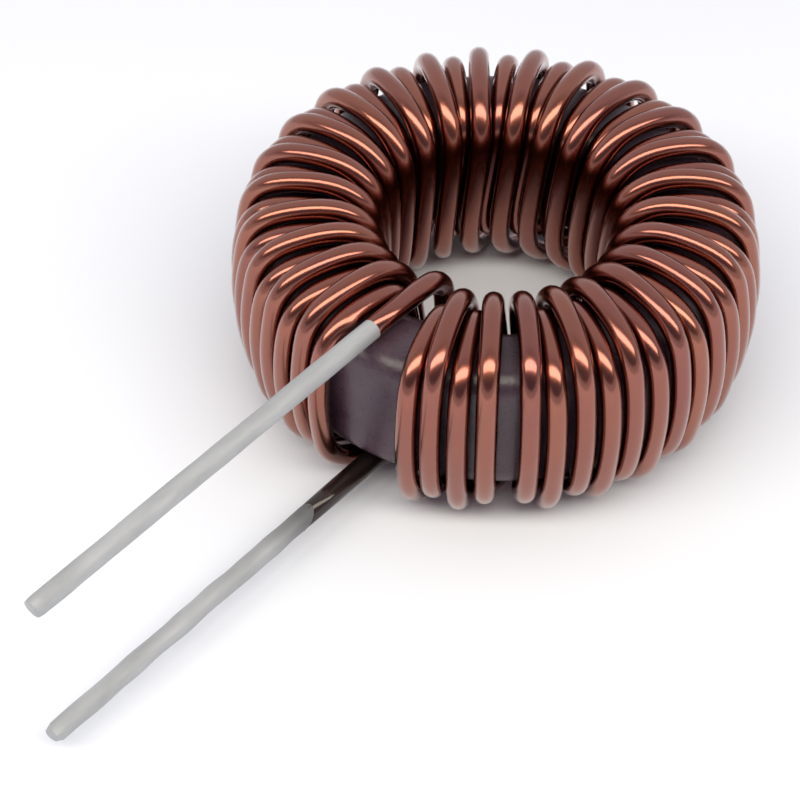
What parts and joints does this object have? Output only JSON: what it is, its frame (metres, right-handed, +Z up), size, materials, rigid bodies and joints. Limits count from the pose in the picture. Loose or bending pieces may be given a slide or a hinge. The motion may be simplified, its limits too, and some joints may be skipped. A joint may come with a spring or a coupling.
{
  "type": "toroidal inductor",
  "caption": "Ring-core inductor wound with thick enamelled copper wire, lying flat, its two tinned wire ends running out side by side.",
  "frame": {"origin": "on the ring's axis, at the plane on which the undersides of the turns rest", "axes": "+Z up along the ring's axis, -Y along the two leads"},
  "size_m": [0.0268, 0.0464, 0.0117],
  "materials": {
    "core_coat": "semi-gloss dark grey epoxy coat",
    "enamelled_copper": "glossy clear amber enamel over copper",
    "solder": "dull solder dip"
  },
  "bodies": {
    "root": {"core": "core_coat", "winding": "enamelled_copper", "upper_lead": "solder", "lower_lead": "solder"}
  },
  "joints": []
}
